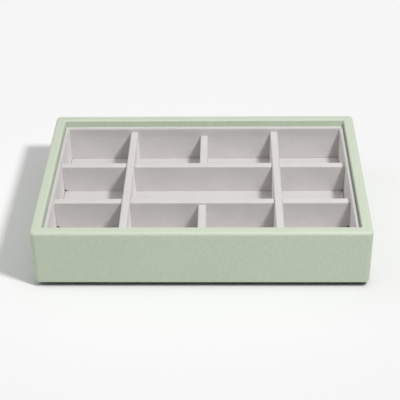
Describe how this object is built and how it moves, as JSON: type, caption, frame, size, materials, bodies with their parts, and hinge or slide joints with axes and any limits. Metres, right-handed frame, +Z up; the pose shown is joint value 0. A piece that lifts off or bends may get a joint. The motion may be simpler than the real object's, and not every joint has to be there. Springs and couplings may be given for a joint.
{
  "type": "trinket tray",
  "caption": "Shallow rectangular stacking tray, leatherette outside, with a velvet insert divided into small compartments for trinkets and an inset foot that nests in a like tray's rim.",
  "frame": {"origin": "on the ground, under the middle of the tray", "axes": "+X along the tray's width, to the right as seen from the front; the front faces -Y; +Z up"},
  "size_m": [0.18, 0.12, 0.0362],
  "materials": {
    "leatherette": "sage green coated cloth with a fine pressed grain, soft sheen",
    "velvet": "pale warm grey short-pile velvet, matt",
    "felt": "charcoal pressed felt, matt",
    "fibreboard": "raw medium-density fibreboard",
    "greyboard": "raw grey bookbinding board"
  },
  "bodies": {
    "root": {"leatherette_wrap": "leatherette", "wall_board_front": "fibreboard", "wall_board_back": "fibreboard", "wall_board_left": "fibreboard", "wall_board_right": "fibreboard", "base_board": "fibreboard", "foot_plate": "greyboard", "foot_cover": "felt", "floor_card": "greyboard", "floor_cover": "velvet", "liner_card_front": "greyboard", "liner_card_back": "greyboard", "liner_card_left": "greyboard", "liner_card_right": "greyboard", "liner_cover_front": "velvet", "liner_cover_back": "velvet", "liner_cover_left": "velvet", "liner_cover_right": "velvet", "long_divider_left_card": "greyboard", "long_divider_left_cover": "velvet", "long_divider_right_card": "greyboard", "long_divider_right_cover": "velvet", "cross_divider_back_card": "greyboard", "cross_divider_back_cover": "velvet", "cross_divider_front_card": "greyboard", "cross_divider_front_cover": "velvet", "short_divider_back_card": "greyboard", "short_divider_back_cover": "velvet", "short_divider_front_card": "greyboard", "short_divider_front_cover": "velvet"}
  },
  "joints": []
}
